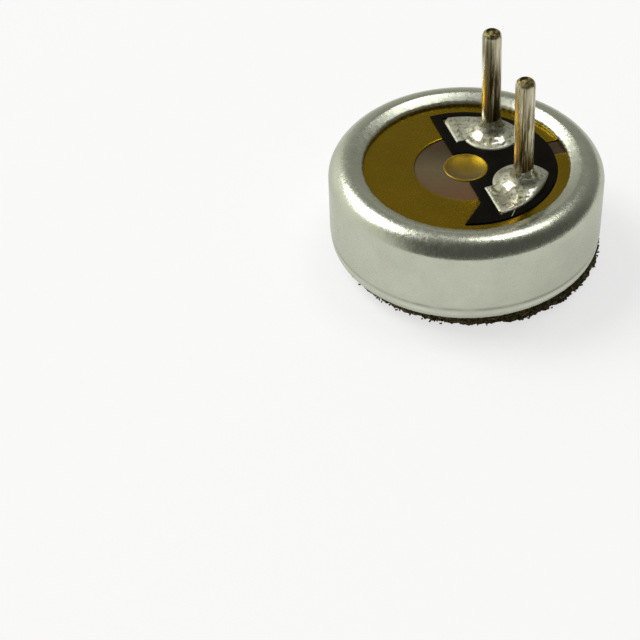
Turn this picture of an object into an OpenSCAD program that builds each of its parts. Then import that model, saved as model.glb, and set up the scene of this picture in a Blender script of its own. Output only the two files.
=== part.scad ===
// Electret microphone capsule with two wire terminals, in millimetres.
// The origin is the middle of the felt's underside on the can's axis. +Z points along the terminals,
// and +X is the board's line of symmetry: the terminals stand at plus and minus Y from it.

/* [Case] */
// Outside diameter of the drawn can
case_d = 6; // [5.6:0.1:7]
// Sheet thickness of the can
case_wall = 0.18; // [0.14:0.01:0.2]
// Outside radius of the rounded edge round the front face
front_edge_r = 0.2; // [0.2:0.01:0.4]
// Outside radius of the rolled rim
rim_r = 0.5; // [0.45:0.01:0.55]
// Angle of the crease where the rolled rim leaves the wall, in degrees
rim_crease = 18; // [5:1:22]
// Height of the rolled rim above the board's foil
rim_h = 0.2; // [0.18:0.01:0.26]
// How far the rolled rim reaches in from the outside of the can
rim_reach = 0.76; // [0.68:0.01:0.8]
// Outside radius of the rim's lip, which bends down to the board
lip_r = 0.34; // [0.28:0.01:0.36]
// Diameter of each sound port in the front face
port_d = 0.45; // [0.3:0.05:0.7]
// Number of sound ports round the middle one
port_count = 6; // [3:1:8]
// Diameter of the circle that the outer sound ports lie on
port_circle_d = 2.2; // [1.8:0.1:3]

/* [Felt cover] */
// Thickness of the felt
felt_t = 0.25; // [0.2:0.05:0.6]
// How far the felt's edge stays inside the can's outline
felt_margin = 0.24; // [0.2:0.02:0.6]
// How far the felt was stuck off the axis along X
felt_off_x = 0.16; // [-0.2:0.02:0.2]
// How far the felt was stuck off the axis along Y
felt_off_y = -0.06; // [-0.2:0.02:0.2]

/* [Diaphragm and back plate] */
// Thickness of the diaphragm's ring
ring_t = 0.2; // [0.1:0.05:0.4]
// Radial width of the diaphragm's ring
ring_w = 0.5; // [0.3:0.05:0.8]
// Thickness of the diaphragm
film_t = 0.02; // [0.02:0.01:0.04]
// Thickness of the spacer ring
spacer_t = 0.05; // [0.03:0.01:0.1]
// Radial width of the spacer ring
spacer_w = 0.62; // [0.5:0.02:0.9]
// Thickness of the electret film
electret_t = 0.03; // [0.02:0.01:0.05]
// Thickness of the back plate
plate_t = 0.2; // [0.1:0.05:0.4]
// Diameter of each vent hole in the back plate
vent_d = 0.4; // [0.2:0.05:0.8]
// Number of vent holes
vent_count = 4; // [3:1:8]
// Diameter of the circle that the vent holes lie on
vent_circle_d = 2.4; // [1.6:0.1:3]
// Radial width of the insulator ring
insulator_w = 0.42; // [0.3:0.02:0.5]
// Height of the gate ring, which is the room for the components
gate_ring_h = 0.6; // [0.55:0.05:1]
// Radial width of the gate ring
gate_ring_w = 0.28; // [0.15:0.01:0.35]

/* [Circuit board] */
// Thickness of the laminate
board_t = 0.5; // [0.3:0.05:0.8]
// Thickness of the foil on both sides
foil_t = 0.035; // [0.02:0.005:0.06]
// Thickness of the solder mask over the foil
mask_t = 0.02; // [0.02:0.005:0.04]
// How far the foil runs under the edge of the mask
foil_lap = 0.06; // [0.02:0.01:0.08]
// Width of the foil ring left bare between the rim and the mask
ring_show = 0.22; // [0.17:0.01:0.37]
// How far the mask passes the middle of the board
mask_past = 0.12; // [0.05:0.01:0.3]
// Distance from the line of symmetry to where the mask's polarity corner starts
corner_y = 1.26; // [1:0.02:1.5]
// Diameter of the round land in the middle
land_d = 0.98; // [0.7:0.02:1.2]
// Diameter of the laminate left bare round that land
bare_d = 2.25; // [1.8:0.05:2.6]
// Width of the gap in the foil ring
ring_gap = 0.46; // [0.2:0.02:0.8]
// Radius of each terminal pad round its pin
pad_r = 0.66; // [0.5:0.02:0.75]
// Width of the mask between the pads and the mask's outer edge
pad_border = 0.22; // [0.15:0.01:0.3]
// Distance from the middle of the board to the pads' straight edges
pad_edge = 0.1; // [0.02:0.02:0.3]
// How far the pads' straight part reaches past the pin's axis towards the line of symmetry
pad_step = 0.1; // [0:0.02:0.3]
// Diameter of the plugged vias under the pads
via_d = 0.3; // [0.2:0.02:0.4]
// Distance of the vias from the middle of the board
via_x = 0.42; // [0.3:0.02:0.5]
// Distance of the vias from the line of symmetry
via_y = 1.25; // [1.1:0.02:1.35]

/* [Terminals] */
// Diameter of the terminal pins
pin_d = 0.42; // [0.3:0.02:0.5]
// Distance between the two pins
pin_pitch = 1.9; // [1.7:0.05:2]
// Distance of the pins from the middle of the board
pin_x = 0.95; // [0.8:0.05:1]
// Length of the pins above the board
pin_l = 2.68; // [1.5:0.02:5]
// Radius of the rounded edge at the pins' tips
pin_tip_r = 0.1; // [0.02:0.01:0.12]
// Height of the solder's dome over the pads
solder_h = 0.12; // [0.08:0.01:0.2]
// How far the output pin's solder spreads from the pin's axis
output_spread = 1.08; // [0.8:0.02:1.3]
// How far the ground pin's solder spreads from the pin's axis
ground_spread = 1.22; // [0.8:0.02:1.3]
// Radius of the solder's fillet up the pins
solder_fillet_r = 0.26; // [0.16:0.02:0.36]

/* [Components] */
// Length of the transistor's body
transistor_l = 1.2; // [0.9:0.05:1.4]
// Width of the transistor's body
transistor_w = 0.8; // [0.6:0.05:1]
// Height of the transistor's body
transistor_h = 0.36; // [0.2:0.02:0.4]
// Distance of the transistor's middle behind the middle of the board
transistor_back = 0.5; // [0.4:0.05:0.6]
// Length of the capacitor
capacitor_l = 1; // [0.6:0.05:1.1]
// Width of the capacitor
capacitor_w = 0.5; // [0.3:0.05:0.6]
// Height of the capacitor
capacitor_h = 0.36; // [0.2:0.02:0.45]
// Distance of the capacitor's middle from the middle of the board
capacitor_x = 0.95; // [0.7:0.05:1.2]

/* [Fits] */
// Clearance between the can and what it holds
case_gap = 0.05; // [0.02:0.01:0.1]
// Clearance between the insulator ring and what it holds
ring_clearance = 0.02; // [0.01:0.01:0.05]

/* [Hidden] */
$fn = 96;

// Colours
aluminium = [0.78, 0.79, 0.77];
felt_black = [0.12, 0.11, 0.11];
brass = [0.80, 0.66, 0.36];
nickel = [0.72, 0.71, 0.68];
film_clear = [0.86, 0.86, 0.80];
plastic_white = [0.90, 0.89, 0.85];
laminate_tan = [0.58, 0.48, 0.40];
foil_gold = [0.72, 0.58, 0.26];
copper = [0.72, 0.45, 0.32];
mask_black = [0.06, 0.06, 0.06];
mould_black = [0.13, 0.13, 0.14];
ceramic_brown = [0.62, 0.50, 0.38];
solder_grey = [0.70, 0.70, 0.68];
pin_tin = [0.66, 0.58, 0.42];

// Levels up the stack, from the felt's underside
front_z = felt_t;
floor_z = front_z + case_wall;
film_z = floor_z + ring_t;
spacer_z = film_z + film_t;
electret_z = spacer_z + spacer_t;
plate_z = electret_z + electret_t;
gate_ring_z = plate_z + plate_t;
inner_foil_z = gate_ring_z + gate_ring_h;
board_z = inner_foil_z + foil_t;
foil_z = board_z + board_t;
foil_top = foil_z + foil_t;
rim_top = foil_top + rim_h;

// Radii from the can inwards
case_r = case_d / 2;
felt_r = case_r - felt_margin;
stack_r = case_r - case_wall - case_gap;
film_r = case_r - max(case_wall + case_gap, front_edge_r);
held_r = stack_r - insulator_w;
plate_r = held_r - ring_clearance;
gate_ring_in = plate_r - gate_ring_w;

// The roll: one arc from the crease to the top, and a second one from the top down to the board
roll_x = case_r - rim_r * cos(rim_crease);
roll_z = rim_top - rim_r;
wall_top = roll_z + rim_r * sin(rim_crease);
lip_run = rim_reach - (case_r - roll_x);
lip_z = rim_top - lip_r;
// The board stays clear of the roll's inside at the height of the laminate's upper face
roll_in = rim_r - case_wall;
roll_rise = max(0, foil_z - roll_z);
board_r = roll_x + sqrt(roll_in * roll_in - roll_rise * roll_rise) - case_gap;

// The board's pattern
foil_r = board_r - foil_lap;
mask_r = case_r - rim_reach - ring_show;
pad_out_r = mask_r - pad_border;
pin_y = pin_pitch / 2;
pin_r = pin_d / 2;
// The short foil neck that joins the ground pad to the ring
neck_w = 0.12;
neck_x = 0.38;
mask_slip = 0.04;

// Details of the components
paste_t = 0.03;
paste_rim = 0.04;
lead_t = 0.1;
lead_w = 0.22;
lead_out = 0.2;
lead_under = 0.1;
lead_y = 0.35;
mould_draft = 0.05;
end_l = 0.25;
end_t = 0.02;
trace_w = 0.3;
via_rim = 0.12;
cut = 0.01;

// Shared shapes
module disc(radius, z, height) {
    translate([0, 0, z]) cylinder(r = radius, h = height);
}

module ring(outer, inner, z, height) {
    translate([0, 0, z]) difference() {
        cylinder(r = outer, h = height);
        translate([0, 0, -cut]) cylinder(r = inner, h = height + 2 * cut);
    }
}

module sheet_ring(radius, thickness) {
    difference() {
        circle(r = radius);
        circle(r = max(radius - thickness, cut));
    }
}

module layer(z, height) {
    translate([0, 0, z]) linear_extrude(height) children();
}

module round_pattern(count, diameter) {
    for (i = [0 : count - 1])
        rotate(360 / count * i) translate([diameter / 2, 0]) children();
}

// Puts what is drawn on a flat surface onto the board's inner foil, facing the back plate
module inside_board(gap = 0) {
    translate([0, 0, inner_foil_z - gap]) mirror([0, 0, 1]) children();
}

// Case
module front_section() {
    translate([0, front_z]) square([case_r - front_edge_r, case_wall]);
    intersection() {
        translate([case_r - front_edge_r, front_z + front_edge_r]) sheet_ring(front_edge_r, case_wall);
        translate([case_r - front_edge_r, front_z]) square(front_edge_r);
    }
    translate([case_r - case_wall, front_z + front_edge_r])
        square([case_wall, wall_top - front_z - front_edge_r]);
}

module rim_section() {
    intersection() {
        translate([roll_x, roll_z]) sheet_ring(rim_r, case_wall);
        translate([roll_x, roll_z]) square([case_r - roll_x, rim_r]);
    }
    intersection() {
        translate([roll_x, lip_z]) sheet_ring(lip_r, case_wall);
        translate([roll_x - lip_run, foil_top]) square([lip_run, rim_h]);
    }
}

module case() {
    color(aluminium) difference() {
        rotate_extrude() {
            front_section();
            rim_section();
        }
        disc(port_d / 2, front_z - cut, case_wall + 2 * cut);
        round_pattern(port_count, port_circle_d) disc(port_d / 2, front_z - cut, case_wall + 2 * cut);
    }
}

module felt_cover() {
    color(felt_black) translate([felt_off_x, felt_off_y, 0]) disc(felt_r, 0, felt_t);
}

// Diaphragm and back plate
module diaphragm_ring() {
    color(brass) ring(film_r, film_r - ring_w, floor_z, ring_t);
}

module diaphragm() {
    color(film_clear) disc(film_r, film_z, film_t);
}

module spacer_ring() {
    color(plastic_white) ring(film_r, film_r - spacer_w, spacer_z, spacer_t);
}

module vented_disc(z, thickness) {
    difference() {
        disc(plate_r, z, thickness);
        round_pattern(vent_count, vent_circle_d) disc(vent_d / 2, z - cut, thickness + 2 * cut);
    }
}

module electret_film() {
    color(film_clear) vented_disc(electret_z, electret_t);
}

module back_plate() {
    color(brass) vented_disc(plate_z, plate_t);
}

module insulator_ring() {
    color(plastic_white) ring(stack_r, held_r, electret_z, board_z - electret_z);
}

module gate_ring() {
    color(nickel) ring(plate_r, gate_ring_in, gate_ring_z, gate_ring_h);
}

// Circuit board
module via_places() {
    for (side = [-1, 1]) translate([via_x, side * via_y]) children();
}

module circuit_board() {
    color(laminate_tan) difference() {
        disc(board_r, board_z, board_t);
        via_places() disc(via_d / 2, board_z - cut, board_t + 2 * cut);
    }
}

module vias() {
    color(copper) via_places() disc(via_d / 2, board_z, board_t);
}

// Outline of the pad on the +Y side, widened by grow
module pad_outline(grow = 0) {
    intersection() {
        circle(r = pad_out_r + grow);
        union() {
            translate([pin_x, pin_y]) circle(r = pad_r + grow);
            translate([pad_edge - grow, pin_y - pad_step - grow])
                square([pin_x - pad_edge + grow, pad_out_r]);
        }
    }
}

module output_pad_outline() {
    pad_outline(foil_lap);
}

// The ring and half disc, with the bare laminate and the gap cut out of them
module ground_area_outline() {
    difference() {
        circle(r = foil_r);
        circle(r = bare_d / 2);
        intersection() {
            circle(r = mask_r - foil_lap);
            translate([foil_lap - mask_past, -case_r]) square(2 * case_r);
        }
        translate([mask_r / 2, -ring_gap / 2]) square([case_r, ring_gap]);
    }
}

module ground_foil_outline() {
    ground_area_outline();
    mirror([0, 1]) output_pad_outline();
    translate([neck_x - neck_w / 2, -mask_r]) square([neck_w, pad_border]);
}

module land_outline() {
    circle(d = land_d);
}

module mask_outline() {
    difference() {
        intersection() {
            circle(r = mask_r);
            union() {
                translate([-mask_past, -mask_r]) square(2 * mask_r);
                polygon([
                    [-mask_past, -corner_y],
                    [-mask_past - mask_r, -corner_y - mask_r],
                    [-mask_past, -corner_y - mask_r],
                ]);
            }
        }
        pad_outline();
        mirror([0, 1]) pad_outline();
        translate([-mask_slip, -mask_slip]) circle(d = land_d + mask_slip);
    }
}

module ground_foil() {
    color(foil_gold) layer(foil_z, foil_t) ground_foil_outline();
}

module output_pad() {
    color(foil_gold) layer(foil_z, foil_t) output_pad_outline();
}

module centre_pad() {
    color(foil_gold) layer(foil_z, foil_t) land_outline();
}

module solder_mask() {
    color(mask_black) difference() {
        layer(foil_z, foil_t + mask_t) mask_outline();
        layer(foil_z - cut, foil_t + cut) {
            ground_foil_outline();
            output_pad_outline();
            land_outline();
        }
    }
}

// Terminals
module pin() {
    translate([pin_x, pin_y, foil_top]) rotate_extrude() {
        square([pin_r, pin_l - pin_tip_r]);
        square([pin_r - pin_tip_r, pin_l]);
        translate([pin_r - pin_tip_r, pin_l - pin_tip_r]) intersection() {
            circle(r = pin_tip_r);
            square(pin_tip_r);
        }
    }
}

module solder_fillet(height) {
    rotate_extrude() difference() {
        square([pin_r + solder_fillet_r, height]);
        translate([pin_r + solder_fillet_r, height]) circle(r = solder_fillet_r);
    }
}

// Solder of one terminal: a low dome over its pad and a fillet up the pin that stands in it
module terminal_solder(spread) {
    dome_r = (spread * spread + solder_h * solder_h) / (2 * solder_h);
    fillet_h = solder_h / 2 + solder_fillet_r;
    difference() {
        intersection() {
            layer(foil_top, fillet_h) pad_outline();
            translate([pin_x, pin_y, foil_top]) union() {
                translate([0, 0, solder_h - dome_r]) sphere(r = dome_r);
                solder_fillet(fillet_h);
            }
        }
        translate([pin_x, pin_y, foil_top - cut]) cylinder(r = pin_r, h = pin_l);
    }
}

module output_pin() {
    color(pin_tin) pin();
}

module ground_pin() {
    color(pin_tin) mirror([0, 1, 0]) pin();
}

module output_solder() {
    color(solder_grey) terminal_solder(output_spread);
}

module ground_solder() {
    color(solder_grey) mirror([0, 1, 0]) terminal_solder(ground_spread);
}

// Foil on the board's inner side
module gate_foil() {
    lead_x = -transistor_back - transistor_w / 2;
    color(foil_gold) layer(inner_foil_z, foil_t) {
        sheet_ring(plate_r, gate_ring_w);
        intersection() {
            circle(r = plate_r);
            translate([-plate_r, -trace_w / 2]) square([plate_r + lead_x + lead_under, trace_w]);
        }
    }
}

module terminal_trace() {
    lead_x = -transistor_back + transistor_w / 2;
    translate([via_x, via_y]) circle(r = via_d / 2 + via_rim);
    translate([via_x - trace_w / 2, lead_y]) square([trace_w, via_y - lead_y]);
    translate([lead_x - lead_under, lead_y - trace_w / 2])
        square([capacitor_x - lead_x + lead_under, trace_w]);
    translate([capacitor_x - capacitor_w / 2 - paste_rim, capacitor_l / 2 - end_l - paste_rim])
        square([capacitor_w + 2 * paste_rim, end_l + 2 * paste_rim]);
}

module drain_foil() {
    color(foil_gold) layer(inner_foil_z, foil_t) terminal_trace();
}

module source_foil() {
    color(foil_gold) layer(inner_foil_z, foil_t) mirror([0, 1]) terminal_trace();
}

// Components, drawn as if standing on the foil
module lead_places() {
    translate([-transistor_back - transistor_w / 2, 0, 0]) rotate(180) children();
    for (side = [-1, 1]) translate([-transistor_back + transistor_w / 2, side * lead_y, 0]) children();
}

module lead_block(rim, height) {
    translate([-lead_under - rim, -lead_w / 2 - rim, 0])
        cube([lead_under + lead_out + 2 * rim, lead_w + 2 * rim, height]);
}

module transistor() {
    half = transistor_w / 2;
    color(mould_black) inside_board(paste_t + lead_t) translate([-transistor_back, transistor_l / 2, 0])
        rotate([90, 0, 0]) linear_extrude(transistor_l) polygon([
            [-half, 0], [half, 0],
            [half - mould_draft, transistor_h], [-half + mould_draft, transistor_h],
        ]);
}

module transistor_leads() {
    color(nickel) inside_board(paste_t) lead_places() lead_block(0, lead_t);
}

module capacitor_block(length, shrink) {
    translate([capacitor_x - capacitor_w / 2 + shrink, -length / 2, shrink])
        cube([capacitor_w - 2 * shrink, length, capacitor_h - 2 * shrink]);
}

module capacitor() {
    color(ceramic_brown) inside_board(paste_t) capacitor_block(capacitor_l - 2 * end_t, end_t);
}

module capacitor_ends() {
    color(nickel) inside_board(paste_t) difference() {
        capacitor_block(capacitor_l, 0);
        capacitor_block(capacitor_l - 2 * end_t, end_t);
        translate([capacitor_x - capacitor_w, end_l - capacitor_l / 2, -cut])
            cube([2 * capacitor_w, capacitor_l - 2 * end_l, capacitor_h + 2 * cut]);
    }
}

module component_solder() {
    color(solder_grey) inside_board() {
        lead_places() lead_block(paste_rim / 2, paste_t);
        for (side = [0, 1]) mirror([0, side, 0])
            translate([capacitor_x - capacitor_w / 2, capacitor_l / 2 - end_l, 0])
                cube([capacitor_w, end_l, paste_t]);
    }
}

case();
felt_cover();
diaphragm_ring();
diaphragm();
spacer_ring();
electret_film();
back_plate();
insulator_ring();
gate_ring();
circuit_board();
vias();
ground_foil();
output_pad();
centre_pad();
solder_mask();
gate_foil();
drain_foil();
source_foil();
transistor();
transistor_leads();
capacitor();
capacitor_ends();
component_solder();
output_pin();
ground_pin();
output_solder();
ground_solder();
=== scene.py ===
"""Portrait of the electret microphone capsule: smooth pieces over the frame, materials, studio and camera.

Shapes are worked out in millimetres in the part's own frame and turned into metres as meshes are made.
"""

import math

import bmesh
import bpy
import numpy as np
from mathutils import Matrix, Vector, noise


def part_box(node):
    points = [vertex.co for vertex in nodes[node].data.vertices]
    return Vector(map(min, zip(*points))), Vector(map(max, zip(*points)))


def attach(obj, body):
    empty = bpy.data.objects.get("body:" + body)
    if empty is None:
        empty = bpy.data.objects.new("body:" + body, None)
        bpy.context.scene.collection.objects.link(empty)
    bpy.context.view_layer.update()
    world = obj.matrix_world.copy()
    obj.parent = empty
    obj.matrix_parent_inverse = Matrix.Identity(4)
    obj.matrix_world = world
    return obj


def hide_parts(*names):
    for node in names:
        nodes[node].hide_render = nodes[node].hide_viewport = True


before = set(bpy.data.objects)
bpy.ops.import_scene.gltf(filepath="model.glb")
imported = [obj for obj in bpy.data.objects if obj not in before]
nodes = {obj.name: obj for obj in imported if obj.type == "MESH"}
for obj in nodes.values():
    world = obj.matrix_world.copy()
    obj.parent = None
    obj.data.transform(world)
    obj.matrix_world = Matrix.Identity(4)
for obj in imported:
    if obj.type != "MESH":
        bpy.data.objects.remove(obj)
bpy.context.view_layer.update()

MM = 0.001
TINY = 1e-9

# Heights this close together count as the same
CLOSE = 0.005


def node_box(name):
    """Lowest and highest corner of a node, in millimetres."""
    low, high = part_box(name)
    return np.array(low) / MM, np.array(high) / MM


# Sizes taken from the frame
case_low, case_high = node_box("case")
felt_low, felt_high = node_box("felt_cover")
land_low, land_high = node_box("centre_pad")
pin_low, pin_high = node_box("output_pin")
mask_high = node_box("solder_mask")[1]
foil_low = node_box("ground_foil")[0]
CASE_R = case_high[0]
FRONT_Z = case_low[2]
RIM_TOP = case_high[2]
FOIL_Z = land_low[2]
FOIL_TOP = land_high[2]
FOIL_R = -foil_low[0]
LAND_R = land_high[0]
MASK_FULL_R = mask_high[0]
MASK_TOP = mask_high[2]
PIN_R = (pin_high[0] - pin_low[0]) / 2
PIN_X = (pin_high[0] + pin_low[0]) / 2
PIN_Y = (pin_high[1] + pin_low[1]) / 2
PIN_TOP = pin_high[2]
FELT_R = (felt_high[0] - felt_low[0]) / 2
FELT_X = (felt_high[0] + felt_low[0]) / 2
FELT_Y = (felt_high[1] + felt_low[1]) / 2

# Sizes repeated from the part
CASE_WALL = 0.18
FRONT_EDGE_R = 0.2
RIM_R = 0.5
RIM_CREASE = 18
RIM_REACH = 0.76
LIP_R = 0.34
PORT_R = 0.225
PORT_COUNT = 6
PORT_CIRCLE_R = 1.1
MASK_PAST = 0.12
CORNER_Y = 1.26
MASK_SLIP = 0.04
BARE_R = 1.125
GAP_HALF = 0.23
PAD_R = 0.66
PAD_BORDER = 0.22
PAD_OUT_R = MASK_FULL_R - PAD_BORDER
PAD_EDGE = 0.1
PAD_STEP = 0.1
NECK_X = 0.38
OUTPUT_SPREAD = 1.08
GROUND_SPREAD = 1.22

# The mask's round edge lies a little further in than the part's
MASK_TRIM = 0.045
MASK_R = MASK_FULL_R - MASK_TRIM

# The fine step near the can's foot
RIDGE_UP = 0.35
RIDGE_Z = FRONT_Z + RIDGE_UP
RIDGE_STEP = 0.016

# The rim's two arcs
ROLL_X = CASE_R - RIM_R * math.cos(math.radians(RIM_CREASE))
ROLL_Z = RIM_TOP - RIM_R
WALL_TOP = ROLL_Z + RIM_R * math.sin(math.radians(RIM_CREASE))
LIP_RUN = RIM_REACH - (CASE_R - ROLL_X)
LIP_END = ROLL_X - LIP_RUN
LIP_Z = RIM_TOP - LIP_R

# The camera, from the photograph: where it stands round the board's middle, and where that middle falls
IMAGE_SIZE = 640
LENS = 100.0
SENSOR = 36.0
CLIP_NEAR = 0.001
CLIP_FAR = 20.0
CAMERA_AZIMUTH = math.radians(-21.5)
CAMERA_ELEVATION = math.radians(37.79)
CAMERA_DISTANCE = 38.9
CAMERA_ROLL = math.radians(1.35)
BOARD_PIXEL = (465.9, 166.4)


def turned(x, y, z):
    """A direction given as right, away and up for the camera, in the part's frame."""
    cos, sin = math.cos(CAMERA_AZIMUTH), math.sin(CAMERA_AZIMUTH)
    return Vector((cos * x - sin * y, sin * x + cos * y, z))


LEFT = turned(-1, 0, 0)


# Shapes
EDGE_STEPS = 4
SHARP_ANGLE = 40
WELD = 1e-5


def progress(value, start, end):
    """How far a value has come from a start to an end, kept between 0 and 1."""
    return min(1.0, max(0.0, (value - start) / (end - start)))


def wave(point, scale, seed=0.0):
    """Smooth noise between about -1 and 1, with features about 1/scale across."""
    return noise.noise(Vector(point) * scale + Vector((seed, 1.7 * seed, 2.3 * seed)))


def waves(point, layers, seed=0.0):
    """Layers of smooth noise added up, each with its height, its scale and its own seed."""
    return sum(height * wave(point, scale, seed + own) for height, scale, own in layers)


def arc(x, y, radius, start, end, steps):
    """Points on an arc between two angles in degrees."""
    angles = np.radians(np.linspace(start, end, steps + 1))
    return [(x + radius * math.cos(a), y + radius * math.sin(a)) for a in angles]


def lathe(profile, segments):
    """Vertices and faces of a profile of radius and height points, turned round the Z axis."""
    vertices, rings = [], []
    for radius, height in profile:
        count = segments if radius > TINY else 1
        first = len(vertices)
        rings.append([first + k % count for k in range(segments + 1)])
        for k in range(count):
            angle = 2 * math.pi * k / segments
            vertices.append((radius * math.cos(angle), radius * math.sin(angle), height))
    faces = []
    for low, high in zip(rings, rings[1:]):
        for k in range(segments):
            corners = [low[k], low[k + 1], high[k + 1], high[k]]
            faces.append(tuple(dict.fromkeys(corners)))
    return vertices, faces


def drawn_mesh(name, vertices, faces, **values):
    """A mesh of points and faces that carries the given values at its points."""
    mesh = bpy.data.meshes.new(name)
    mesh.from_pydata(vertices, [], faces)
    for key, column in values.items():
        mesh.attributes.new(key, "FLOAT", "POINT").data.foreach_set("value", column)
    return mesh


def clean_mesh(mesh, sharp=SHARP_ANGLE):
    """Welds a mesh drawn in millimetres, turns its normals out, shades it smooth and sets it in metres."""
    shape = bmesh.new()
    shape.from_mesh(mesh)
    bmesh.ops.remove_doubles(shape, verts=shape.verts, dist=WELD)
    bmesh.ops.dissolve_degenerate(shape, edges=shape.edges, dist=WELD)
    bmesh.ops.recalc_face_normals(shape, faces=shape.faces)
    for face in shape.faces:
        face.smooth = True
    bmesh.ops.scale(shape, vec=(MM, MM, MM), verts=shape.verts)
    shape.to_mesh(mesh)
    shape.free()
    mesh.set_sharp_from_angle(angle=math.radians(sharp))
    return mesh


def add_piece(name, mesh, finish, slot, *replaced):
    """Puts a finished mesh on the object's one body, in the place of the nodes that it stands for."""
    piece = bpy.data.objects.new(name, mesh)
    bpy.context.scene.collection.objects.link(piece)
    if not mesh.materials:
        mesh.materials.append(finish)
    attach(piece, "root")
    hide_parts(*replaced)
    return piece


def evaluated_mesh(item):
    """The mesh that an object has once its curve or its modifiers are worked out."""
    return bpy.data.meshes.new_from_object(item.evaluated_get(bpy.context.evaluated_depsgraph_get()))


def plate_mesh(name, outlines, low, high, round_in, round_down):
    """A flat plate with rounded edges, so far in and so far down. Outlines inside another one are holes."""
    stretch = round_in / round_down
    curve = bpy.data.curves.new(name, "CURVE")
    curve.dimensions = "2D"
    curve.fill_mode = "BOTH"
    curve.extrude = stretch * (high - low) / 2 - round_in
    curve.bevel_depth = round_in
    curve.bevel_resolution = EDGE_STEPS
    curve.offset = -round_in
    for outline in outlines:
        spline = curve.splines.new("POLY")
        spline.points.add(len(outline) - 1)
        for point, (x, y) in zip(spline.points, outline):
            point.co = (x, y, 0, 1)
        spline.use_cyclic_u = True
    drawn = bpy.data.objects.new(name, curve)
    bpy.context.scene.collection.objects.link(drawn)
    mesh = evaluated_mesh(drawn)
    bpy.data.objects.remove(drawn)
    bpy.data.curves.remove(curve)
    mesh.transform(Matrix.Translation((0, 0, (low + high) / 2)) @ Matrix.Diagonal((1, 1, 1 / stretch, 1)))
    return mesh


def cut_mesh(mesh, cutter):
    """The first mesh with the second one taken away, both drawn in millimetres."""
    whole = bpy.data.objects.new("whole", mesh)
    tool = bpy.data.objects.new("tool", cutter)
    for item in (whole, tool):
        bpy.context.scene.collection.objects.link(item)
    cut = whole.modifiers.new("cut", "BOOLEAN")
    cut.operation = "DIFFERENCE"
    cut.solver = "EXACT"
    cut.object = tool
    result = evaluated_mesh(whole)
    bpy.data.objects.remove(whole)
    bpy.data.objects.remove(tool)
    return result


def joined_mesh(name, meshes):
    """One mesh from several that were drawn in millimetres."""
    shape = bmesh.new()
    for mesh in meshes:
        shape.from_mesh(mesh)
        bpy.data.meshes.remove(mesh)
    mesh = bpy.data.meshes.new(name)
    shape.to_mesh(mesh)
    shape.free()
    return mesh


# Colours, from dark to light where there are several
ALUMINIUM = ((0.47, 0.49, 0.395), (0.52, 0.54, 0.435))
ALUMINIUM_TINT = (0.8, 0.8, 0.76)
SCUFF = (0.40, 0.41, 0.32)
# Painted shade in the fine step near the can's foot, and a painted highlight band under it
STEP_PAINTED_SHADE = (0.27, 0.28, 0.21)
STEP_PAINTED_HIGHLIGHT = (0.66, 0.68, 0.58)
GOLD = ((0.238, 0.153, 0.003), (0.282, 0.181, 0.005))
GOLD_DUST = (0.34, 0.23, 0.035)
LAND_GOLD = ((0.215, 0.14, 0.003), (0.265, 0.175, 0.012))
LAMINATE_NEAR = (0.13, 0.066, 0.027)
LAMINATE_MIDDLE = (0.118, 0.092, 0.043)
# Painted shade: the board's side away from the camera, under the far rim, is painted darker
LAMINATE_AWAY_PAINTED_SHADE = (0.05, 0.031, 0.013)
LAMINATE_FIBRE = (0.07, 0.05, 0.025)
MASK_BLACK = ((0.002, 0.0016, 0.0008), (0.005, 0.004, 0.002))
SOLDER_PIT = (0.10, 0.096, 0.042)
SOLDER_DULL = (0.38, 0.38, 0.265)
SOLDER_LIGHT = (0.53, 0.53, 0.39)
SOLDER_STAIN = (0.15, 0.145, 0.065)
SOLDER_RIM = ((0.33, 0.335, 0.25), (0.45, 0.455, 0.36))
TIN_DARK = (0.29, 0.26, 0.16)
TIN_LIGHT = (0.60, 0.56, 0.40)
TARNISH = (0.085, 0.052, 0.010)
# Painted highlight: the pins' strip where the left lamp's highlight falls
HIGHLIGHT_BRASS_DARK = (0.95, 0.78, 0.46)
HIGHLIGHT_BRASS_LIGHT = (1.0, 0.95, 0.76)
CUT_DARK = (0.05, 0.04, 0.010)
CUT_LIGHT = (0.38, 0.325, 0.14)
FELT_DARK = (0.034, 0.028, 0.009)
FELT_BROWN = (0.24, 0.205, 0.085)
FELT_PALE = (0.34, 0.32, 0.24)
FELT_SHEEN = (0.9, 0.8, 0.45)
TABLE_WHITE = ((0.93, 0.93, 0.925), (0.94, 0.94, 0.935))
ROOM_WHITE = (1.0, 0.99, 0.93)

# Noise mostly lies between these two levels, so tones are spread over them
NOISE_LOW = 0.3
NOISE_HIGH = 0.7


def opaque(value):
    """A colour or a grey level with full cover."""
    colour = (value, value, value) if isinstance(value, (int, float)) else value
    return (*colour, 1)


# Materials
class Nodes:
    """Makes nodes in a tree. They take plain values or other nodes' sockets as inputs."""

    def __init__(self, tree):
        self.tree = tree

    def fill(self, node, inputs):
        """Sets or joins a node's sockets."""
        for key, value in inputs.items():
            socket = node.inputs[key]
            if isinstance(value, bpy.types.NodeSocket):
                self.tree.links.new(value, socket)
            else:
                socket.default_value = opaque(value) if socket.type == "RGBA" else value

    def node(self, kind, inputs, **settings):
        """A new node of a kind, with its inputs filled."""
        node = self.tree.nodes.new("ShaderNode" + kind)
        for key, value in settings.items():
            setattr(node, key, value)
        self.fill(node, inputs)
        return node

    def count(self, operation, *inputs):
        """A sum, a product or the like."""
        return self.node("Math", dict(enumerate(inputs)), operation=operation).outputs[0]


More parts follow.
